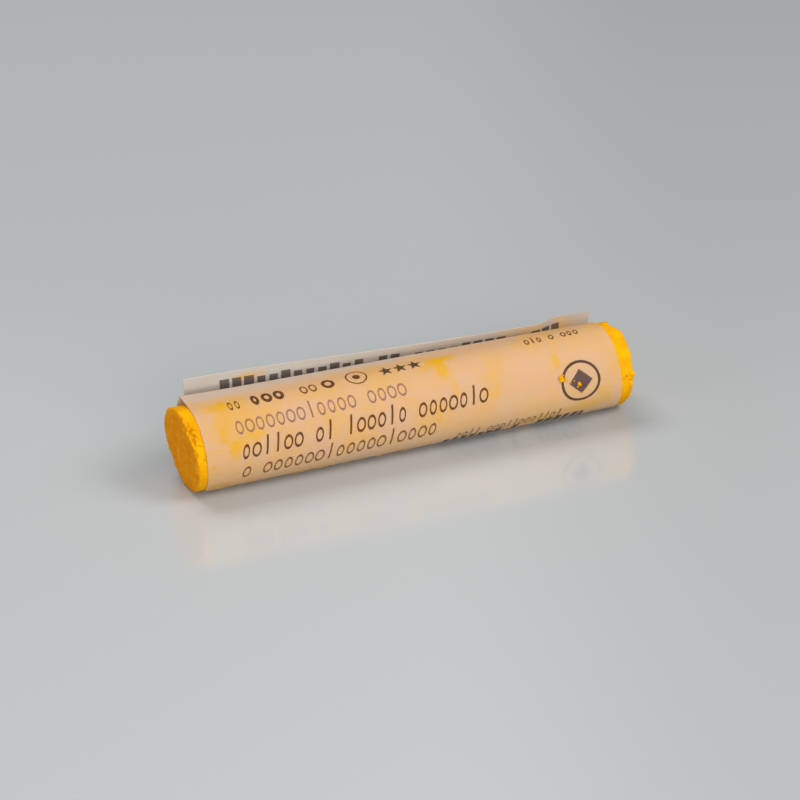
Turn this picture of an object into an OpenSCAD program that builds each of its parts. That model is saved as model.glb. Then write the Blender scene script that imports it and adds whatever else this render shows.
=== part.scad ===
// Soft pastel stick in its paper wrapper, lying on its side.
// The stick runs along X and rests on the plane Z = 0. Its front is at -Y and its back at +Y.
// The wrapper is one rectangular sheet, rolled once round the stick a little askew. Its inner
// edge is tucked under at the back, a crease stands off the top, and its outer edge has come
// loose and stands up behind.
// Angles in a section are measured from the back, upwards: 90 is the top and 180 the front.

/* [Stick] */
// Diameter of the pressed stick
stick_d = 12; // [9:0.5:20]
// Length of the stick, along its longest side
stick_l = 66.1; // [40:0.1:100]
// Rounding of the rims
rim_r = 0.6; // [0.2:0.1:1.5]
// Width of the flat that the stick lies on
flat_w = 3; // [1.5:0.1:4]
// Slope of the left end face, in degrees
left_slope = 6; // [0:0.5:7]
// Side of the left end that is the longest, in degrees from the back
left_long_a = 56; // [0:1:359]
// Slope of the right end face, in degrees
right_slope = 1; // [0:0.5:4]
// Side of the right end that is the longest, in degrees from the back
right_long_a = 150; // [0:1:359]
// How deep the chips in the rims go, as a share of the depths listed for them
chip_depth = 1; // [0:0.1:1.5]

/* [Wrapper] */
// How far the paper's left edge lies from the left end's longest side, along the front
bare_left = 2.4; // [1.5:0.1:10]
// How far the paper's right edge lies from the right end's longest side, along the front
bare_right = 2.1; // [1.5:0.1:10]
// Thickness of the paper
paper_t = 0.1; // [0.06:0.01:0.2]
// Slack between the stick and the paper
slack = 0.05; // [0.03:0.01:0.15]
// Gap between the two layers where the outer one lies on the tucked one
lap_gap = 0.12; // [0.1:0.01:0.2]
// How far askew the sheet is rolled, in degrees
skew = 2.2; // [0:0.1:3]
// How much less paper there is at the right end than at the left, where the outer edge is cut
edge_slant = 1.3; // [0:0.1:2]
// How far below the stick's axis the tucked edge lies at the left end, in degrees
tuck_a = 22; // [10:1:30]

/* [Crease] */
// Where the crease stands in the section, in degrees from the back
crease_a = 63; // [45:1:70]
// How far the crease stands off the stick along most of its length
crease_lift = 0.85; // [0.1:0.05:1.2]
// How much further its left end stands off
crease_curl = 0.35; // [0:0.05:0.6]
// Size of the rounded fold at the crease
crease_r = 0.4; // [0.2:0.05:0.6]

/* [Loose end] */
// Length of the loose end at its left side, from the roll to the free edge
flap_h = 7; // [5:0.5:9]
// Where the loose end leaves the roll, in degrees from the back
flap_a = 11; // [0:1:15]
// How far the right corner of the loose end leans back, in degrees
flare_a = 26; // [0:1:30]
// Length of that right corner, along the stick
flare_l = 9.8; // [6:0.1:20]
// Length over which the loose end bends from standing up to leaning back
flare_run = 6; // [4:0.5:10]
// Sway of the free edge to the front and back
flap_sway = 0.2; // [0:0.05:0.5]
// How far the corners of the free edge point outwards, along the stick
corner_out = 0.5; // [0:0.1:1]

/* [Hidden] */

stick_r = stick_d / 2;
// The flat is a chord of the round section.
flat_depth = sqrt(pow(stick_r, 2) - pow(flat_w / 2, 2));
// The paper under the stick lifts it by its own thickness and the slack.
axis_z = flat_depth + slack + paper_t;

function clamp01(v) = min(1, max(0, v));
function smooth(v) = pow(clamp01(v), 2) * (3 - 2 * clamp01(v));
// A point of a section, from its distance to the axis and its angle.
function polar(r, a) = [r * cos(a), r * sin(a)];
// A length along an arc of radius r, as an angle, and an angle as such a length.
function arc_angle(l, r) = l / r * 180 / PI;
function arc_length(a, r) = a * r * PI / 180;

// ---- pastel stick -------------------------------------------------------------------------

LEFT = -1;
RIGHT = 1;
// Chips in the rims: end, angle, depth at the end face, slope of the broken surface.
chips = [
    [LEFT, 98, 0.35, 45], [LEFT, 119, 0.45, 55], [LEFT, 137, 0.6, 60], [LEFT, 151, 0.4, 35],
    [LEFT, 262, 0.4, 45], [LEFT, 312, 0.7, 40], [LEFT, 340, 0.4, 50],
    [RIGHT, 62, 0.6, 50], [RIGHT, 97, 0.7, 42], [RIGHT, 120, 0.45, 50], [RIGHT, 142, 0.25, 45],
    [RIGHT, 176, 0.3, 40], [RIGHT, 228, 0.6, 45], [RIGHT, 255, 0.4, 50], [RIGHT, 320, 0.6, 45]
];

function slope(end) = end == LEFT ? left_slope : right_slope;
function long_a(end) = end == LEFT ? left_long_a : right_long_a;
// How far from the stick's middle the end face meets the side, at an angle round the rim.
function rim_x(end, a) =
    stick_l / 2 - stick_r * tan(slope(end)) * (1 - cos(a - long_a(end)));

// Half of the stick's outline, with rounded rims.
module stick_profile() {
    hull_l = stick_l - 2 * rim_r;
    translate([0, -stick_l / 2]) square([stick_r - rim_r, stick_l]);
    translate([0, -hull_l / 2]) square([stick_r, hull_l]);
    for (end = [LEFT, RIGHT])
        translate([stick_r - rim_r, end * hull_l / 2]) circle(r = rim_r, $fn = 48);
}

// What a sloping end face cuts away. The long side of the face keeps the stick's full length.
module end_trim(end) {
    rotate([long_a(end), 0, 0])
        translate([end * stick_l / 2, stick_r, 0])
            rotate([0, 0, -end * slope(end)])
                translate([end * stick_d, 0, 0])
                    cube([2 * stick_d, 4 * stick_d, 2 * stick_d], center = true);
}

// What a chip takes off the rim: everything outside a sloping plane across the corner.
module chip(end, angle, depth, break_a) {
    rotate([angle, 0, 0])
        translate([end * rim_x(end, angle), stick_r - depth * chip_depth, 0])
            rotate([0, 0, end == RIGHT ? break_a : 180 - break_a])
                translate([stick_r, 0, 0])
                    cube(stick_d, center = true);
}

module pastel_stick() {
    color([0.95, 0.66, 0.04])
        translate([0, 0, axis_z])
            difference() {
                rotate([0, 90, 0]) rotate_extrude($fn = 96) stick_profile();
                translate([0, 0, -flat_depth - stick_d / 2])
                    cube([2 * stick_l, 2 * stick_d, stick_d], center = true);
                end_trim(LEFT);
                end_trim(RIGHT);
                for (c = chips) chip(c[0], c[1], c[2], c[3]);
            }
}

// ---- paper wrapper ------------------------------------------------------------------------

// The sheet is worked out as the line half-way through the paper, in sections across the
// stick. v runs from 0 at the left edge of the sheet to 1 at its right edge.
stations = 22;
paper_w = (stick_l - bare_left - bare_right) / cos(skew);
lay_r = stick_r + slack + paper_t / 2;
lap_rise = paper_t + lap_gap;
flat_line = flat_depth + slack + paper_t / 2;
flat_a = acos(flat_line / lay_r);
// Rolled askew, the sheet's edges run down by this much from left to right.
skew_drop = paper_w * sin(skew);

// The crease, and the two straight stretches that run from it to where the paper touches.
function lift(v) = crease_lift * cos(90 * v) + crease_curl * pow(1 - v, 8) + slack;
function leg(v) = sqrt(pow(lay_r + lift(v), 2) - pow(lay_r, 2));
function touch_a(v) = acos(lay_r / (lay_r + lift(v)));

// The tucked edge: a length of paper from the crease, and the angle where it ends.
tuck_l = leg(0) + arc_length(crease_a - touch_a(0) + tuck_a, lay_r);
function tuck(v) = tuck_l + skew_drop * v;
function tuck_end_a(v) = crease_a - touch_a(v) - arc_angle(tuck(v) - leg(v), lay_r);

// The loose end: where it leaves the roll, and how long it is there. The sheet is a rectangle,
// so what the roll doesn't take up is left to the loose end.
function flare(v) = flare_a * smooth((flare_l - paper_w * (1 - v)) / flare_run);
function leave_a(v) = 360 + flap_a - flare(v);
function rolled(v) = leg(v) + arc_length(leave_a(v) - crease_a - touch_a(v), lay_r);
function flap(v) = flap_h + rolled(0) - rolled(v) - (skew_drop + edge_slant) * v;

// Distance from the axis to the layer that lies on the tucked one, rising to it past the flat.
lap_margin = 10;
function lap_r(v, a) =
    lay_r + lap_rise * smooth((a - 270 - flat_a) / (90 + tuck_end_a(v) - lap_margin - flat_a));

function between(a, b, i, n) = a + (b - a) * i / n;

// The stretches of a section, each from the tucked edge onwards.
tuck_steps = 8;
fold_steps = 4;
front_steps = 20;
flat_steps = 2;
back_steps = 12;
flap_steps = 5;
function tucked_arc(v) = [
    for (i = [0 : tuck_steps])
        polar(lay_r, between(tuck_end_a(v), crease_a - touch_a(v), i, tuck_steps))
];
// The fold is a quadratic curve between the two straight stretches.
function crease_fold(v) =
    let (top = polar(lay_r + lift(v), crease_a),
         size = min(crease_r, leg(v) / 3) / leg(v),
         back = polar(lay_r, crease_a - touch_a(v)),
         front = polar(lay_r, crease_a + touch_a(v)),
         from = top + (back - top) * size,
         to = top + (front - top) * size)
    [for (i = [0 : fold_steps])
        let (k = i / fold_steps) pow(1 - k, 2) * from + 2 * k * (1 - k) * top + k * k * to];
function front_arc(v) = [
    for (i = [0 : front_steps])
        polar(lay_r, between(crease_a + touch_a(v), 270 - flat_a, i, front_steps))
];
function flat_stretch() = [
    for (i = [1 : flat_steps - 1])
        [between(-1, 1, i, flat_steps) * flat_line * tan(flat_a), -flat_line]
];
function back_arc(v) = [
    for (i = [0 : back_steps])
        let (a = between(270 + flat_a, leave_a(v), i, back_steps)) polar(lap_r(v, a), a)
];
function loose_end(v) =
    let (root = polar(lap_r(v, leave_a(v)), leave_a(v)), way = polar(1, leave_a(v) + 90))
    [for (i = [1 : flap_steps])
        let (k = i / flap_steps)
        root + way * flap(v) * k + [flap_sway * k * k * sin(500 * v), 0]];
function section(v) =
    concat(tucked_arc(v), crease_fold(v), front_arc(v), flat_stretch(), back_arc(v), loose_end(v));

// Length along a line up to each of its points.
function lengths(line) =
    [for (i = 0, s = 0; i < len(line); i = i + 1,
          s = s + (i < len(line) ? norm(line[i] - line[i - 1]) : 0)) s];

// A unit vector square to the line at a point, away from the stick.
function away(line, i) =
    let (last = len(line) - 1, d = line[min(i + 1, last)] - line[max(i - 1, 0)])
    [d[1], -d[0]] / norm(d);

// One face of the paper at a section: side is 1 for the outer face and -1 for the inner one.
// Being askew shifts each point along the stick by its distance round the roll.
front_way = arc_length(180 - crease_a, lay_r);
function face_points(v, side) =
    let (line = section(v),
         along = lengths(line),
         x = bare_left - stick_l / 2 + paper_w * cos(skew) * v,
         end = len(line) - 1)
    [for (i = [0 : end])
        let (p = line[i] + away(line, i) * side * paper_t / 2,
             loose = max(0, i - end + flap_steps) / flap_steps)
        [x + sin(skew) * (along[i] - tuck(v) - front_way)
           + corner_out * (2 * v - 1) * pow(loose, 3), p[0], p[1]]];

function reversed(list) = [for (i = [len(list) - 1 : -1 : 0]) list[i]];

module paper_wrapper() {
    rings = [for (s = [0 : stations])
        concat(face_points(s / stations, 1), reversed(face_points(s / stations, -1)))];
    ring_n = len(rings[0]);
    side_n = ring_n / 2;
    points = [for (ring = rings) for (p = ring) p];
    skin = [
        for (s = [0 : stations - 1]) for (i = [0 : ring_n - 1])
            let (a = s * ring_n + i,
                 b = s * ring_n + (i + 1) % ring_n,
                 c = b + ring_n,
                 d = a + ring_n)
            each [[a, b, c], [a, c, d]]
    ];
    // Each edge of the sheet is a strip of quads between its two faces.
    edges = [
        for (s = [0, stations]) for (i = [0 : side_n - 2])
            let (a = s * ring_n + i,
                 b = a + 1,
                 c = s * ring_n + ring_n - 2 - i,
                 d = c + 1)
            each s == 0 ? [[a, d, c], [a, c, b]] : [[a, b, c], [a, c, d]]
    ];
    color([0.91, 0.73, 0.5])
        translate([0, 0, axis_z])
            polyhedron(points = points, faces = concat(skin, edges), convexity = 10);
}

pastel_stick();
paper_wrapper();
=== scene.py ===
"""Looks of the soft pastel stick in its paper wrapper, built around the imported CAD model."""

import math
import random

import bpy
import numpy as np
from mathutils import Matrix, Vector


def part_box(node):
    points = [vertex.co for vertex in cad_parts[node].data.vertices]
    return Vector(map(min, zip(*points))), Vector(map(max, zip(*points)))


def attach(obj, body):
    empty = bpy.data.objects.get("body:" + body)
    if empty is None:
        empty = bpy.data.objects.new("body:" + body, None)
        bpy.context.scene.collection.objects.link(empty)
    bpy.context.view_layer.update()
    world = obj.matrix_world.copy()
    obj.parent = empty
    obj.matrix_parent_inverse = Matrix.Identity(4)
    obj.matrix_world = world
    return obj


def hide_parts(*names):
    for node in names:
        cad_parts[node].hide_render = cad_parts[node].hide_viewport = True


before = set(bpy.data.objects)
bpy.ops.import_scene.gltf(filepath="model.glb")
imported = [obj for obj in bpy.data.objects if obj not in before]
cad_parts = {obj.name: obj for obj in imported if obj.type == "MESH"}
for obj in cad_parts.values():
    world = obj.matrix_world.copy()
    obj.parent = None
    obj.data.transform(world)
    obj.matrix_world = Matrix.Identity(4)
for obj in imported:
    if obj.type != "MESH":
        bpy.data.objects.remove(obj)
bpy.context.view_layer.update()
bpy.ops.object.select_all(action="DESELECT")

# ---- camera and studio --------------------------------------------------------------------
# The stick lies on a pale, slightly glossy table. It is seen from the front, from a little to
# the left and above, through a long lens. Four soft lamps light it: one to the front right,
# one high at the back, a low one in front, and a weak one at the left.

MM = 0.001
CAMERA_AZIMUTH, CAMERA_ELEVATION, CAMERA_ROLL = map(math.radians, (-21.16, 25.89, -1.85))
CAMERA_DISTANCE = 500 * MM
CAMERA_AIM = Vector((0.02, 0.44, 6.61)) * MM
SENSOR = 36
LENS = 161.5

back = Vector((
    math.sin(CAMERA_AZIMUTH) * math.cos(CAMERA_ELEVATION),
    -math.cos(CAMERA_AZIMUTH) * math.cos(CAMERA_ELEVATION),
    math.sin(CAMERA_ELEVATION),
))
bpy.ops.object.camera_add(location=CAMERA_AIM + back * CAMERA_DISTANCE)
camera = bpy.context.object
camera.rotation_euler = (math.pi / 2 - CAMERA_ELEVATION, 0, CAMERA_AZIMUTH)
camera.rotation_euler.rotate_axis("Z", CAMERA_ROLL)
camera.data.sensor_width = SENSOR
camera.data.lens = LENS
camera.data.clip_start, camera.data.clip_end = 10 * MM, 10
bpy.context.scene.camera = camera
bpy.context.scene.view_settings.view_transform = "Standard"


def linear(red, green, blue):
    """A screen colour, 0 to 255, as the linear colour that shaders take."""
    return (*(((c / 255 + 0.055) / 1.055) ** 2.4 for c in (red, green, blue)), 1)


class Wire:
    """An output of a shader node. Sums with wires add the Math nodes that work them out."""

    def __init__(self, finish, socket):
        self.finish = finish
        self.socket = socket

    def math(self, operation, *values):
        sockets = dict(enumerate((self, *values)))
        return self.finish.node("Math", {"operation": operation}, sockets)

    def __add__(self, other):
        return self.math("ADD", other)

    def __sub__(self, other):
        return self.math("SUBTRACT", other)

    def __rsub__(self, other):
        return self.math("MULTIPLY_ADD", -1, other)

    def __mul__(self, other):
        return self.math("MULTIPLY", other)

    def __truediv__(self, other):
        return self.math("DIVIDE", other)

    def __abs__(self):
        return self.math("ABSOLUTE")

    def __lt__(self, other):
        return self.math("LESS_THAN", other)

    def __gt__(self, other):
        return self.math("GREATER_THAN", other)

    __radd__ = __add__
    __rmul__ = __mul__


class Finish:
    """A material with one Principled shader, and the nodes that feed it."""

    def __init__(self, name, **constants):
        self.material = bpy.data.materials.new(name)
        self.material.use_nodes = True
        self.tree = self.material.node_tree
        self.shader = self.tree.nodes["Principled BSDF"]
        for socket, value in constants.items():
            self.shader.inputs[socket.replace("_", " ")].default_value = value

    def node(self, kind, settings, sockets, out=0):
        """Adds one node, with its settings made before its sockets are filled or linked."""
        made = self.tree.nodes.new("ShaderNode" + kind)
        for key, value in settings.items():
            setattr(made, key, value)
        for key, value in sockets.items():
            self.fill(made.inputs[key], value)
        return Wire(self, made.outputs[out])

    def fill(self, socket, value):
        if isinstance(value, Wire):
            self.tree.links.new(value.socket, socket)
        else:
            socket.default_value = value

    def feed(self, **inputs):
        for socket, value in inputs.items():
            self.fill(self.shader.inputs[socket.replace("_", " ")], value)

    def grain(self, place, scale, detail=3, roughness=0.5, distortion=0):
        """Noise about 1/scale metres in size, from 0 to 1."""
        sockets = {"Vector": place, "Scale": scale, "Detail": detail,
                   "Roughness": roughness, "Distortion": distortion}
        return self.node("TexNoise", {}, sockets)

    def ramp(self, value, low, high, to_low=0, to_high=1):
        """Rises smoothly from to_low to to_high while value goes from low to high."""
        sockets = {"Value": value, "From Min": low, "From Max": high,
                   "To Min": to_low, "To Max": to_high}
        return self.node("MapRange", {"interpolation_type": "SMOOTHSTEP"}, sockets)

    def tint(self, share, base, colour, blend="MIX"):
        """Blends a colour into another, by a share from 0 to 1."""
        settings = {"data_type": "RGBA", "blend_type": blend, "clamp_factor": True}
        return self.node("Mix", settings, {0: share, 6: base, 7: colour}, out=2)

    def bump(self, height, distance, strength=1):
        """The surface's normal, tipped as height, times distance in metres, would tip it."""
        return self.node("Bump", {}, {"Height": height, "Distance": distance,
                                      "Strength": strength})


# The table is a little darker to the right and at the back, where less light reaches it.
FLOOR_SIZE = 3
table_top = Finish("table_top", Roughness=0.13, Specular_IOR_Level=1.0)
place = table_top.node("TexCoord", {}, {}, out="Object")
x, y = (table_top.node("SeparateXYZ", {}, {"Vector": place}, out=axis) for axis in "XY")
rightwards = x * math.cos(CAMERA_AZIMUTH) + y * math.sin(CAMERA_AZIMUTH)
away = y * math.cos(CAMERA_AZIMUTH) - x * math.sin(CAMERA_AZIMUTH)
shade = table_top.ramp(rightwards, 0, 0.05, 1, 0.86) * table_top.ramp(away, 0, 0.07, 1, 0.93)
tone = table_top.tint(shade, linear(0, 0, 0), linear(173, 175, 175))
table_top.feed(Base_Color=tone)
bpy.ops.mesh.primitive_plane_add(size=FLOOR_SIZE)
floor = bpy.context.object
floor.name = "floor"
floor.data.materials.append(table_top.material)

world = bpy.data.worlds.new("studio")
bpy.context.scene.world = world
world.use_nodes = True
world.node_tree.nodes["Background"].inputs["Color"].default_value = linear(196, 199, 201)
world.node_tree.nodes["Background"].inputs["Strength"].default_value = 0.45


def lamp(name, place, size, power):
    """A square soft lamp, in metres and watts, that faces the stick and doesn't glare in the table."""
    bpy.ops.object.light_add(type="AREA", location=place)
    light = bpy.context.object
    light.name = name
    light.rotation_euler = (-Vector(place)).to_track_quat("-Z", "Y").to_euler()
    light.data.size = size
    light.data.energy = power
    light.visible_glossy = False


lamp("key", (0.3, -0.28, 0.42), 0.3, 2.2)
lamp("back", (-0.1, 0.3, 0.55), 0.3, 2.3)
lamp("low_fill", (-0.03, -0.62, 0.1), 0.45, 5.2)
lamp("left_fill", (-0.5, -0.2, 0.2), 0.3, 0.7)

# ---- pastel stick -------------------------------------------------------------------------
# A round stick of pigment and chalk, pressed and dried. It is soft: the ends are broken and
# rubbed, with chipped rims, short cracks and a fine powdery grain. The flat underneath is
# the model's own, so that it lies still.

STICK_R = 6 * MM
STICK_L = 66.1 * MM
RIM_R = 0.35 * MM
ROUND_SIDES, RIM_SEGMENTS = 128, 4
FLAT_W = 3 * MM
LEFT, RIGHT = -1, 1
# For each end, how many degrees its face slopes, and which side of it is the longest. Sides
# are in degrees from the back, upwards: 90 is the top and 180 the front.
END_SLOPE = {LEFT: (6, 56), RIGHT: (1, 150)}
# Chips in the rims: end, side, depth at the end face in mm, slope of the broken surface.
CHIPS = [
    (LEFT, 98, 0.35, 45), (LEFT, 119, 0.45, 55), (LEFT, 137, 0.6, 60), (LEFT, 151, 0.4, 35),
    (LEFT, 262, 0.4, 45), (LEFT, 312, 0.7, 40), (LEFT, 340, 0.4, 50),
    (RIGHT, 62, 0.6, 50), (RIGHT, 84, 0.85, 52), (RIGHT, 120, 0.45, 50), (RIGHT, 142, 0.25, 45),
    (RIGHT, 176, 0.3, 40), (RIGHT, 228, 0.6, 45), (RIGHT, 255, 0.4, 50), (RIGHT, 320, 0.6, 45),
]
# Cracks: end, side and distance in from the end face of the middle, length and width in mm,
# and how far the crack is turned from lying along the stick.
CRACKS = [
    (LEFT, 107, 0.15, 0.9, 0.22, 85), (LEFT, 123, 0.15, 1.7, 0.24, 85), (LEFT, 130, 0.7, 1.3, 0.22, 12),
    (LEFT, 138, 0.8, 1.7, 0.26, 62), (LEFT, 145, 0.4, 1.3, 0.22, 78), (LEFT, 152, 1.0, 1.1, 0.2, 25),
    (LEFT, 162, 0.3, 1.3, 0.22, 85), (LEFT, 171, 1.1, 0.7, 0.2, 40), (LEFT, 300, 0.8, 1.6, 0.26, 60),
    (RIGHT, 181, 0.4, 1.5, 0.22, 0), (RIGHT, 175, 1.2, 0.5, 0.24, 30), (RIGHT, 178, 1.6, 0.6, 0.2, 70),
    (RIGHT, 215, 0.7, 1.2, 0.24, 60), (RIGHT, 234, 1.8, 0.7, 0.3, 50), (RIGHT, 60, 0.7, 1.4, 0.24, 20),
    (RIGHT, 290, 0.6, 1.6, 0.26, 65),
]
# Flakes that have lifted on the rims, given in the same way.
FLAKES = [
    (LEFT, 134, 0.75, 1.1, 0.55, 55), (LEFT, 142, 0.85, 1.2, 0.6, 70), (LEFT, 128, 0.95, 0.7, 0.4, 20),
    (LEFT, 150, 0.6, 0.8, 0.5, 80), (RIGHT, 172, 0.4, 1.2, 0.9, 60), (RIGHT, 188, 0.5, 0.9, 0.7, 80),
    (RIGHT, 30, 0.6, 1.2, 0.7, 40), (RIGHT, 80, 1.4, 1.5, 1.4, 0),
]
CRACK_DEPTH = 0.5 * MM
FLAKE_T, FLAKE_TILT = 0.3 * MM, 8
# How far in from each end the surface is worked, which reaches a little under the paper.
BARE = 3.1 * MM
VOXEL = 0.103 * MM
# The share of the mesh that is kept where the paper covers the stick.
COVERED_SHARE = 0.3

stick_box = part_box("pastel_stick")
axis = Vector((0, 0, stick_box[1][2] - STICK_R))


def outwards(side):
    """The way out from the stick's axis, at a side given in degrees."""
    return Vector((0, math.cos(math.radians(side)), math.sin(math.radians(side))))


def rim_point(end, side, radius):
    """A point of an end face, at a distance from the axis."""
    slope, longest = END_SLOPE[end]
    fall = math.tan(math.radians(slope)) * (STICK_R - radius * math.cos(math.radians(side - longest)))
    return axis + outwards(side) * radius + Vector((end * (STICK_L / 2 - fall), 0, 0))


def cut(point, normal):
    """Takes off the part of the selected mesh that lies beyond a plane, and closes the cut."""
    bpy.ops.mesh.select_all(action="SELECT")
    bpy.ops.mesh.bisect(plane_co=point, plane_no=normal, use_fill=True, clear_outer=True)


bpy.ops.mesh.primitive_cylinder_add(
    vertices=ROUND_SIDES, radius=STICK_R, depth=STICK_L + 2 * MM, location=axis,
    rotation=(0, math.pi / 2, 0))
stick = bpy.context.object
stick.name = "pastel_stick_pressed"
bpy.ops.object.transform_apply(location=True, rotation=True)
bpy.ops.object.mode_set(mode="EDIT")
for end, (slope, longest) in END_SLOPE.items():
    tilt = -math.tan(math.radians(slope))
    cut(rim_point(end, longest, STICK_R), Vector((end, 0, 0)) + outwards(longest) * tilt)
cut(axis - Vector((0, 0, math.sqrt(STICK_R**2 - (FLAT_W / 2) ** 2))), Vector((0, 0, -1)))
bpy.ops.mesh.select_mode(type="FACE")
bpy.ops.mesh.select_all(action="DESELECT")
bpy.ops.object.mode_set(mode="OBJECT")
for face in stick.data.polygons:
    face.select = abs(face.normal.x) > 0.9
bpy.ops.object.mode_set(mode="EDIT")
bpy.ops.mesh.region_to_loop()
bpy.ops.mesh.bevel(offset=RIM_R, segments=RIM_SEGMENTS, affect="EDGES")
for end, side, depth, break_slope in CHIPS:
    steep = math.radians(break_slope)
    cut(rim_point(end, side, STICK_R - depth * MM),
        Vector((end * math.cos(steep), 0, 0)) + outwards(side) * math.sin(steep))
bpy.ops.object.mode_set(mode="OBJECT")


def modify(piece, kind, **settings):
    """Adds a modifier to a piece and applies it."""
    bpy.context.view_layer.objects.active = piece
    made = piece.modifiers.new(kind.lower(), kind)
    for key, value in settings.items():
        setattr(made, key, value)
    bpy.ops.object.modifier_apply(modifier=made.name)


def on_rim(end, side, inset, length, width, turn):
    """Lays the active object on the stick's side near one end, and gives it a size in mm."""
    laid = bpy.context.object
    laid.scale = (length * MM, width * MM, 2 * CRACK_DEPTH)
    laid.location = rim_point(end, side, STICK_R) - Vector((end * inset * MM, 0, 0))
    laid.rotation_euler = outwards(side).to_track_quat("-Z", "X").to_euler()
    laid.rotation_euler.rotate_axis("Z", math.radians(90 + turn))
    return laid


def joined(pieces):
    """Makes one object of several, with its place and size in its mesh."""
    bpy.ops.object.select_all(action="DESELECT")
    for piece in pieces:
        piece.select_set(True)
    bpy.context.view_layer.objects.active = pieces[0]
    bpy.ops.object.join()
    bpy.ops.object.transform_apply(location=True, rotation=True, scale=True)
    return bpy.context.object


flakes = []
for flake in FLAKES:
    bpy.ops.mesh.primitive_ico_sphere_add(subdivisions=3, radius=0.5)
    flakes.append(on_rim(*flake))
    flakes[-1].scale.z = FLAKE_T
    flakes[-1].rotation_euler.rotate_axis("X", math.radians(FLAKE_TILT))
cutters = []
for crack in CRACKS:
    bpy.ops.mesh.primitive_cone_add(vertices=4, radius1=0.6, radius2=0.4, depth=1)
    cutters.append(on_rim(*crack))
bpy.context.view_layer.update()
into_cracks = [cutter.matrix_world.inverted() for cutter in cutters]
stick = joined([stick, *flakes])
cracks = joined(cutters)
modify(stick, "BOOLEAN", object=cracks, operation="DIFFERENCE", solver="EXACT", use_self=True)
bpy.data.objects.remove(cracks)
modify(stick, "REMESH", mode="VOXEL", voxel_size=VOXEL)
bare, broken, covered = (stick.vertex_groups.new(name=name)
                         for name in ("bare", "broken", "covered"))
shaded_end_faces, crack_shades = [], []
for vertex in stick.data.vertices:
    depth_in = STICK_L / 2 - abs(vertex.co.x)
    bare.add([vertex.index], min(1, max(0, (BARE - depth_in) / MM)), "REPLACE")
    covered.add([vertex.index], 1 if depth_in > BARE + MM else 0, "REPLACE")
    end_on = min(1, max(0, abs(vertex.normal.x) * 2 - 0.7)) if depth_in < BARE else 0
    broken.add([vertex.index], end_on, "REPLACE")
    # The end faces are marked also for their colour, which carries painted shade.
    shaded_end_faces.append(end_on)
    # How far a point lies inside a crack, where its colour gets painted shade.
    crack_shade = 0
    if depth_in < BARE:
        for into_crack in into_cracks:
            inside = into_crack @ vertex.co
            if abs(inside.z) < 0.5:
                crack_shade = max(crack_shade, min(1, (0.7 - abs(inside.x) - abs(inside.y)) * 5))
    crack_shades.append(crack_shade)


def mark(piece, name, values):
    """Keeps a number for each of a piece's points, which its material reads by this name."""
    piece.data.attributes.new(name, "FLOAT", "POINT").data.foreach_set("value", values)


mark(stick, "shaded_end_face", shaded_end_faces)
mark(stick, "crack_shade", crack_shades)


def roughened(piece, group, kind, size, height, **settings):
    """Raises and sinks part of a piece by a noise of a given size and height."""
    texture = bpy.data.textures.new(kind.lower(), kind)
    texture.noise_scale = size
    for key, value in settings.items():
        setattr(texture, key, value)
    modify(piece, "DISPLACE", texture=texture, strength=height, mid_level=0.5,
           vertex_group=group, texture_coords="LOCAL")


roughened(stick, "bare", "CLOUDS", 2.2 * MM, 0.18 * MM, noise_depth=2)
roughened(stick, "bare", "CLOUDS", 0.45 * MM, 0.07 * MM, noise_depth=2)
roughened(stick, "broken", "CLOUDS", 1.1 * MM, 0.28 * MM, noise_depth=4, noise_type="HARD_NOISE")
modify(stick, "DECIMATE", ratio=COVERED_SHARE, vertex_group="covered")
bpy.ops.object.shade_smooth()

pigment = Finish("pigment", Specular_IOR_Level=0.15)
place = pigment.node("TexCoord", {}, {}, out="Object")
powder = pigment.grain(place, 7000, detail=4, roughness=0.7)
smudge = pigment.grain(place, 500, detail=4, roughness=0.6)
pits = pigment.node("TexVoronoi", {}, {"Vector": place, "Scale": 1300})
shaded_end_face, crack_shade = (pigment.node("Attribute", {"attribute_name": name}, {}, out="Fac")
                    for name in ("shaded_end_face", "crack_shade"))
rubbed = pigment.tint(pigment.ramp(smudge, 0.35, 0.65), linear(202, 137, 2), linear(214, 152, 5))
# The end faces are more orange: partly the broken pigment, partly painted shade, the warmer hue of a
# shaded end face.
torn_and_shaded = pigment.tint(pigment.ramp(smudge, 0.35, 0.65), linear(221, 137, 5), linear(231, 149, 13))
colour = pigment.tint(shaded_end_face, rubbed, torn_and_shaded)
colour = pigment.tint(pigment.ramp(powder, 0.55, 0.75) * 0.3, colour, linear(246, 190, 40))
pit = pigment.ramp(pits, 0.06, 0.2, 1, 0) * (smudge > 0.5)
colour = pigment.tint(pit * 0.6, colour, linear(186, 100, 4))
# Painted shade: the insides of the cracks are darkened.
colour = pigment.tint(crack_shade * 0.45, colour, linear(150, 84, 2))
pigment.feed(Base_Color=colour, Roughness=pigment.ramp(powder, 0.3, 0.7, 0.85, 1),
             Normal=pigment.bump(powder - pit, 0.06 * MM, 0.7))
stick.data.materials.append(pigment.material)
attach(stick, "root")
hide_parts("pastel_stick")

# ---- paper wrapper ------------------------------------------------------------------------
# One rectangular sheet of thin satin paper, rolled once round the stick a little askew. Its
# inner edge is tucked under at the back, a crease stands off the top, and the outer edge has
# come loose and stands up behind.

# Sizes are in millimetres up to the mesh, and angles from the back, upwards. In the functions
# v is the place along the sheet, from 0 at its left edge to 1 at its right.

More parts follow.
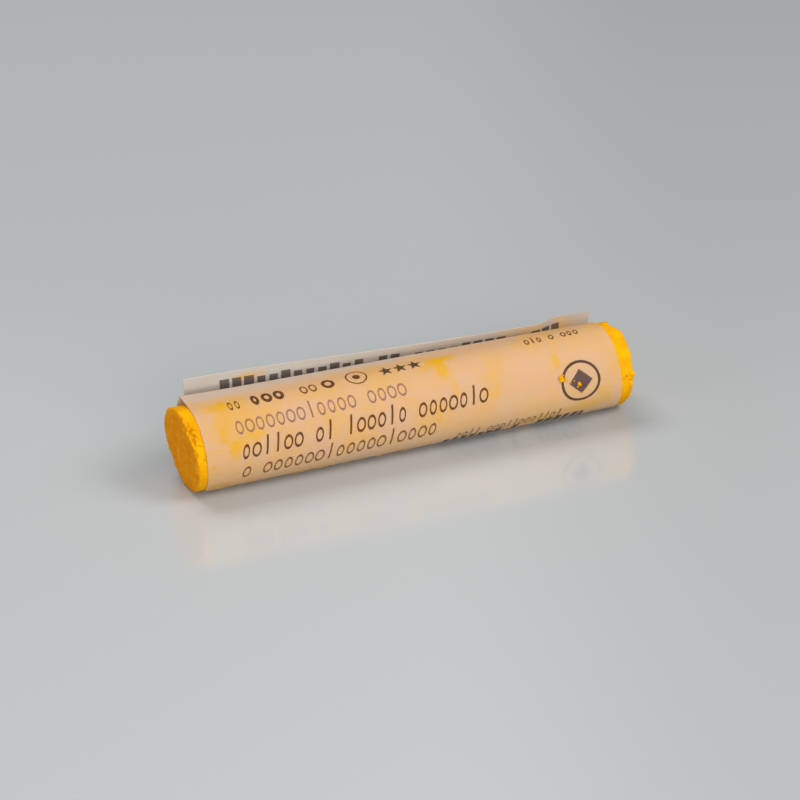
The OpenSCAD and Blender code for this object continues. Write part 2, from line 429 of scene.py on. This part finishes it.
PAPER_W = 61.65
PAPER_T = 0.1
SLACK, LAP_GAP = 0.05, 0.12
PAPER_LEFT = -30.65
SKEW = math.radians(2.2)
EDGE_SLANT = 1.3
TUCK_A = 22
CREASE_A, CREASE_LIFT, CREASE_R = 63, 0.85, 0.4
CREASE_CURL, CURL_FADE = 0.35, 8
FLAP_H, FLAP_A = 7, 11
FLARE_A, FLARE_L, FLARE_RUN = 26, 9.8, 6
FLAP_SWAY, SWAY_TURN = 0.2, 500
CORNER_OUT = 0.5
TOUCH_FADE = 0.5
LAY_R = STICK_R / MM + SLACK + PAPER_T / 2
FLAT_LINE = axis.z / MM - PAPER_T / 2
FLAT_A = math.degrees(math.acos(FLAT_LINE / LAY_R))
LAP_RISE = PAPER_T + LAP_GAP
LAP_MARGIN = 10
LOOSE_STEPS = 60
SKEW_DROP = PAPER_W * math.sin(SKEW)


def smooth(value):
    """Rises from 0 to 1 while value does, without a corner at either end."""
    value = np.clip(value, 0, 1)
    return value**2 * (3 - 2 * value)


def arc_length(degrees):
    """Length of paper that lies round the stick over an angle."""
    return math.radians(degrees) * LAY_R


def polar(radius, degrees):
    """Points of a section, from their distance to the axis and their angle."""
    turn = np.radians(degrees)
    return np.stack([radius * np.cos(turn), radius * np.sin(turn)], axis=-1)


def lift(v):
    """How far the crease stands off the roll."""
    return CREASE_LIFT * math.cos(v * math.pi / 2) + CREASE_CURL * (1 - v) ** CURL_FADE + SLACK


def leg(v):
    """The straight stretch on either side of the crease."""
    return math.sqrt((LAY_R + lift(v)) ** 2 - LAY_R**2)


def touch_a(v):
    """The angle between the crease and where its sides touch the roll again."""
    return math.degrees(math.acos(LAY_R / (LAY_R + lift(v))))


TUCK_L = leg(0) + arc_length(CREASE_A - touch_a(0) + TUCK_A)


def tuck(v):
    """Length of paper from the tucked edge to the crease."""
    return TUCK_L + SKEW_DROP * v


def leave_a(v):
    """The angle at which the loose end leaves the roll."""
    flare = FLARE_A * float(smooth((FLARE_L - PAPER_W * (1 - v)) / FLARE_RUN))
    return 360 + FLAP_A - flare


def rolled(v):
    """Length of paper from the crease to where the loose end leaves the roll."""
    return leg(v) + arc_length(leave_a(v) - CREASE_A - touch_a(v))


def section(v):
    """The sheet's line in one section, from the tucked edge to the loose one."""
    steps = np.linspace(0, 1, LOOSE_STEPS)[:, None]
    tuck_end = CREASE_A - touch_a(v) - math.degrees((tuck(v) - leg(v)) / LAY_R)
    tucked = polar(LAY_R, tuck_end + (CREASE_A - touch_a(v) - tuck_end) * steps[:, 0])
    top = polar(LAY_R + lift(v), CREASE_A)
    before, after = polar(LAY_R, CREASE_A - touch_a(v)), polar(LAY_R, CREASE_A + touch_a(v))
    size = min(CREASE_R, leg(v) / 3) / leg(v)
    start, stop = top + (before - top) * size, top + (after - top) * size
    fold = (1 - steps) ** 2 * start + 2 * steps * (1 - steps) * top + steps**2 * stop
    front = polar(LAY_R, CREASE_A + touch_a(v)
                  + (270 - FLAT_A - CREASE_A - touch_a(v)) * steps[:, 0])
    angle = 270 + FLAT_A + (leave_a(v) - 270 - FLAT_A) * steps[:, 0]
    rise = (angle - 270 - FLAT_A) / (90 + tuck_end - LAP_MARGIN - FLAT_A)
    behind = polar(LAY_R + LAP_RISE * smooth(rise), angle)
    length = FLAP_H + rolled(0) - rolled(v) - (SKEW_DROP + EDGE_SLANT) * v
    loose = behind[-1] + polar(1, leave_a(v) + 90) * length * steps
    sway = FLAP_SWAY * steps[:, 0] ** 2 * math.sin(math.radians(SWAY_TURN * v))
    loose[:, 0] += sway
    return np.concatenate([tucked, fold, front, behind, loose[1:]])


def rolled_sheet(across, v):
    """Points of one section at shares of the sheet's length, and their lengths from the edge."""
    line = section(v)
    lengths = np.concatenate([[0], np.cumsum(np.linalg.norm(np.diff(line, axis=0), axis=1))])
    way = across * lengths[-1]
    y, z = np.interp(way, lengths, line[:, 0]), np.interp(way, lengths, line[:, 1])
    front_way = arc_length(180 - CREASE_A)
    x = PAPER_LEFT + PAPER_W * math.cos(SKEW) * v + math.sin(SKEW) * (way - tuck(v) - front_way)
    loose = np.clip((way - lengths[-LOOSE_STEPS]) / (lengths[-1] - lengths[-LOOSE_STEPS]), 0, 1)
    x += CORNER_OUT * (2 * v - 1) * loose**3
    return np.stack([x, y, z], axis=-1), way


ALONG_STEPS, ROUND_STEPS = 150, 250
bpy.ops.mesh.primitive_grid_add(x_subdivisions=ALONG_STEPS, y_subdivisions=ROUND_STEPS, size=1,
                                location=(0.5, 0.5, 0))
wrapper = bpy.context.object
wrapper.name = "paper_wrapper_sheet"
bpy.ops.object.transform_apply(location=True)
flat = np.array([vertex.co for vertex in wrapper.data.vertices])
spots, ways = np.empty((len(flat), 3)), np.empty(len(flat))
for v in np.unique(flat[:, 0]):
    picked = flat[:, 0] == v
    spots[picked], ways[picked] = rolled_sheet(flat[picked, 1], float(v))
wrapper.data.vertices.foreach_set("co", (np.array(axis) + spots * MM).ravel())
mark(wrapper, "along", flat[:, 0] * PAPER_W)
mark(wrapper, "way", ways)
mark(wrapper, "touch", 1 - smooth((np.hypot(spots[:, 1], spots[:, 2]) - LAY_R) / TOUCH_FADE))
bpy.ops.object.mode_set(mode="EDIT")
bpy.ops.mesh.select_all(action="SELECT")
bpy.ops.mesh.flip_normals()
bpy.ops.object.mode_set(mode="OBJECT")
modify(wrapper, "SOLIDIFY", thickness=PAPER_T * MM, offset=0)
mark(wrapper, "printed", [index < len(flat) for index in range(len(wrapper.data.vertices))])
bpy.ops.object.shade_smooth_by_angle(angle=math.radians(40))

paper = Finish("wrapper_paper", Specular_IOR_Level=0.3, Roughness=0.6)
place = paper.node("TexCoord", {}, {}, out="Object")
along, way, touch, printed = (paper.node("Attribute", {"attribute_name": name}, {}, out="Fac")
                              for name in ("along", "way", "touch", "printed"))
patch = paper.grain(place, 160, detail=4, roughness=0.6, distortion=0.6)
cloud = paper.grain(place, 420, detail=5, roughness=0.6)
mottle = paper.grain(place, 1100, detail=4, roughness=0.65)
fibre = paper.grain(place, 5000, detail=3, roughness=0.7)

# Where the paper lies on the stick the pigment shows through it, more in some patches.
near = linear(236, 188, 118)
far = linear(230, 190, 150)
colour = paper.tint(paper.ramp(patch, 0.35, 0.65), far, near)
# The lower front of the sheet is lightened: painted light.
belly_painted_light = paper.ramp(way, 22, 30) * (1 - paper.ramp(way, 34, 40))
colour = paper.tint(belly_painted_light * 0.6, colour, linear(240, 213, 178))
off = paper.tint(paper.ramp(cloud, 0.35, 0.7), linear(208, 194, 183), linear(212, 190, 165))
off = paper.tint(1 - printed, off, linear(246, 232, 214))
loose = paper.ramp(way, 40, 44)
greyed = paper.tint(paper.ramp(along, 0, 60), linear(208, 204, 196), linear(206, 194, 180))
off = paper.tint(loose, off, greyed)
colour = paper.tint(touch, off, colour)


def smear(middle, half, strength):
    """A share of rubbed-in pigment: an uneven oval on the sheet, sizes in mm."""
    across = (along - middle[0]) / half[0]
    down = (way - middle[1]) / half[1]
    reach = (across * across + down * down).math("SQRT") + ((cloud - 0.5) * 1.2 + (mottle - 0.5) * 1.3)
    return paper.ramp(reach, 0.3, 1.1, strength, 0)


SMEARS = [
    # middle and half size along and round the sheet in mm, strength
    ((36.3, 14.5), (2.7, 1.3), 1), ((36.0, 16.6), (1.3, 2.0), 0.8), ((38.2, 14.1), (1.3, 0.8), 0.6),
    ((34.4, 15.6), (1.8, 1.0), 0.45), ((3.7, 14.0), (2.8, 1.2), 0.8), ((4.5, 20.1), (2.0, 1.2), 0.6),
    ((4.1, 21.2), (1.0, 1.6), 0.6), ((3.0, 19.3), (1.0, 1.6), 0.6), ((7.8, 19.5), (2.0, 1.0), 0.6),
    ((1.7, 20.6), (1.8, 0.5), 0.4), ((0.8, 22.8), (0.5, 0.6), 0.7), ((2.0, 26.8), (2.6, 0.7), 0.5),
    ((5.0, 17.5), (4.5, 6.0), 0.4), ((34.0, 22.4), (0.6, 2.6), 0.4), ((42.6, 21.9), (1.0, 0.7), 0.4),
    ((37.0, 19.5), (0.8, 1.8), 0.4), ((52.6, 19.2), (0.5, 1.4), 0.6), ((59.0, 25.6), (1.8, 2.4), 0.4),
    ((56.4, 27.2), (3.4, 1.3), 0.45), ((50.0, 28.0), (8.0, 1.6), 0.35), ((41.3, 14.2), (1.6, 0.8), 0.3),
    ((9.5, 48.6), (3.2, 0.8), 0.6), ((50.5, 47.6), (4.5, 1.8), 0.5), ((57.4, 47.0), (2.2, 2.2), 0.6),
]
RUBBED = linear(243, 185, 26)
for middle, half, strength in SMEARS:
    colour = paper.tint(smear(middle, half, strength), colour, RUBBED)


def ink_line(start, end, base, height, pitch, weight, lean, seed):
    """A line of print, made generic: a row of rings and bars, with gaps between them."""
    rise = base - way
    moved = (along - start - rise * lean) / pitch
    cell = moved.math("FLOOR")
    draw = paper.node("TexWhiteNoise", {"noise_dimensions": "1D"}, {"W": cell + seed})
    stroke = draw > 0.7
    top = height * (1 + stroke * 0.35)
    sideways = (moved.math("FRACT") - 0.5) * pitch
    bar = (abs(sideways) < weight / 2) * (abs(rise - top / 2) < top / 2)
    half_width = ((draw * 7).math("FRACT") * 0.12 + 0.36) * pitch - weight / 2
    half_height = (height - weight) / 2
    across, up = sideways / half_width, (rise - height / 2) / half_height
    to_ring = abs((across * across + up * up).math("SQRT") - 1) * (half_width + half_height)
    drawn = paper.node("Mix", {"data_type": "FLOAT"}, {0: stroke, 2: to_ring < weight, 3: bar})
    return drawn * (draw > 0.13) * (moved > 0) * (cell < (end - start) / pitch - 1)


def block_line(start, end, down, base, height, pitch, lean):
    """A line of bold print, made generic: a row of solid blocks, with gaps between them."""
    rise = base - down
    moved = (along - start - rise * lean) / pitch
    draw = paper.node("TexWhiteNoise", {"noise_dimensions": "1D"},
                      {"W": moved.math("FLOOR") + base})
    top, bottom = height - (draw > 0.7) * 0.15, (draw < 0.4) * 0.35
    block = (abs(moved.math("FRACT") - 0.5) < draw * 0.12 + 0.3) * (rise > bottom) * (rise < top)
    return block * (draw > 0.12) * (moved > 0) * (along < end)


def from_middle(middle_along, middle_way):
    """The distances along and up the sheet from a point of it."""
    return along - middle_along, middle_way - way


def disc(middle, radius):
    """Negative inside a round mark, and the distance to its edge."""
    across, up = from_middle(*middle)
    return (across * across + up * up).math("SQRT") - radius


def star(middle, radius):
    """A five-pointed star, point upwards."""
    across, up = from_middle(*middle)
    fold = math.radians(36)
    turn = abs(across).math("ARCTAN2", up).math("PINGPONG", fold)
    reach = (across * across + up * up).math("SQRT")
    inner = 0.4 * radius
    edge = Vector((inner * math.sin(fold), radius - inner * math.cos(fold))).normalized()
    out = turn.math("COSINE") * reach * edge.x + turn.math("SINE") * reach * edge.y
    return out < radius * edge.x


BROWN, MAUVE, TAN, BLACK = (linear(78, 42, 20), linear(150, 112, 100), linear(118, 78, 50),
                            linear(58, 44, 40))
INK_LINES = [
    # start, end, base, height, pitch, weight, lean, ink
    (4.9, 7.9, 15.3, 1.6, 1.0, 0.24, 0, BROWN),
    (8.2, 14.0, 15.3, 1.95, 1.75, 0.52, 0, BROWN),
    (14.2, 18.6, 15.3, 1.6, 1.35, 0.25, 0, BROWN),
    (18.8, 21.3, 15.3, 1.95, 2.2, 0.5, 0, BROWN),
    (4.7, 31.5, 19.1, 1.9, 1.5, 0.25, 0, MAUVE),
    (4.7, 42.9, 22.6, 2.0, 1.53, 0.3, 0.2, BROWN),
    (4.6, 33.6, 25.9, 2.0, 1.515, 0.28, 0.2, TAN),
    (49.4, 58.2, 15.5, 1.25, 0.95, 0.24, 0.1, BROWN),
    (35.5, 53.2, 28.4, 1.3, 0.95, 0.19, 0.2, BROWN),
]
through = paper.ramp(printed, 0, 1, 0.88, 0.94)
for seed, (*sizes, ink) in enumerate(INK_LINES):
    colour = paper.tint(ink_line(*sizes, seed * 31.7) * through, colour, ink)
BOLD_SLOPE = 0.015
BOLD_LINES = [
    # start, end, way down the sheet, base, height, pitch, lean
    (5, 57, way + along * BOLD_SLOPE, 48.75, 3.2, 1.8, 0),
    (34.4, 56.3, way, 31.3, 2.9, 1.3, 0.2),
]
bold_ink = [block_line(*blocks) * through for blocks in BOLD_LINES]
for ink in bold_ink:
    colour = paper.tint(ink, colour, BLACK)
RING_MIDDLE, ROUND_MARK_MIDDLE = (24.2, 14.2), (55.5, 22.9)
ring = abs(disc(RING_MIDDLE, 1.45)) < 0.11
dot = disc(RING_MIDDLE, 0.55) < 0
stars = [star((28.6 + 2.15 * step, 14.3), 1.15) for step in range(3)]
round_mark = abs(disc(ROUND_MARK_MIDDLE, 2.8)) < 0.2
across, up = from_middle(*ROUND_MARK_MIDDLE)
lozenge = abs(across) + abs(up) < 1.8
marks = [(ring, BROWN), (dot, BROWN), *((shape, BLACK) for shape in stars), (round_mark, BLACK),
         (lozenge, linear(82, 68, 78))]
for shape, ink in marks:
    colour = paper.tint(shape * through, colour, ink)
paper.feed(Base_Color=colour, Normal=paper.bump(fibre + patch, 0.03 * MM, 0.5))

# The paper is half translucent, and hardly at all where the bold blocks are printed.
THROUGH_LIGHT = 0.5
glow = paper.node("BsdfTranslucent", {}, {"Color": linear(220, 205, 192)})
paper_shader = Wire(paper, paper.shader.outputs[0])
share = (1 - sum(bold_ink)) * THROUGH_LIGHT
mixed = paper.node("MixShader", {}, {0: share, 1: paper_shader, 2: glow})
paper.fill(paper.tree.nodes["Material Output"].inputs["Surface"], mixed)
wrapper.data.materials.append(paper.material)
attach(wrapper, "root")
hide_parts("paper_wrapper")

# ---- stuck crumbs -------------------------------------------------------------------------
# Small lumps of the pigment that have been rubbed off the stick and pressed into the paper,
# beside and on the round mark, and finer ones that cling low on its front.

CRUMBS = [
    # along and round the sheet in mm, size in mm, turn
    (52.6, 21.9, 1.0, 20), (53.3, 22.2, 0.45, 50), (53.9, 22.7, 0.3, 0), (54.5, 22.6, 0.25, 70),
    (55.2, 23.2, 0.7, 35), (54.9, 23.6, 0.35, 10), (53.0, 21.5, 0.3, 80),
]
LOW_CRUMBS = 80
# The middle of a crumb stays this share of its size above the table.
LOWEST_SHARE = 0.35
dice = random.Random(7)
low_crumbs = [
    (1 + 34 * dice.random()**1.3, dice.gauss(29.7, 0.5), dice.uniform(0.14, 0.36), dice.uniform(0, 90))
    for _ in range(LOW_CRUMBS)
]
lumps = []
for where_along, where_way, size, turn in CRUMBS + low_crumbs:
    v = where_along / PAPER_W
    line = section(v)
    length = float(np.linalg.norm(np.diff(line, axis=0), axis=1).sum())
    (spot,), _ = rolled_sheet(np.array([where_way / length]), v)
    out = Vector((0, spot[1], spot[2])).normalized()
    bpy.ops.mesh.primitive_ico_sphere_add(subdivisions=4 if size > 0.4 else 2,
                                          radius=size / 2 * MM)
    lump = bpy.context.object
    lump.location = axis + Vector(spot) * MM + out * (PAPER_T / 2 + size * 0.1) * MM
    lump.location.z = max(lump.location.z, size * LOWEST_SHARE * MM)
    lump.rotation_euler = out.to_track_quat("Z", "X").to_euler()
    lump.rotation_euler.rotate_axis("Z", math.radians(turn))
    lump.scale = (1, 0.8, 0.6)
    lumps.append(lump)
crumbs = joined(lumps)
crumbs.name = "stuck_crumbs"
crumbs.vertex_groups.new(name="bare").add(range(len(crumbs.data.vertices)), 1, "REPLACE")
roughened(crumbs, "bare", "CLOUDS", 0.4 * MM, 0.25 * MM, noise_depth=3)
bpy.ops.object.shade_smooth()
crumbs.data.materials.append(pigment.material)
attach(crumbs, "root")
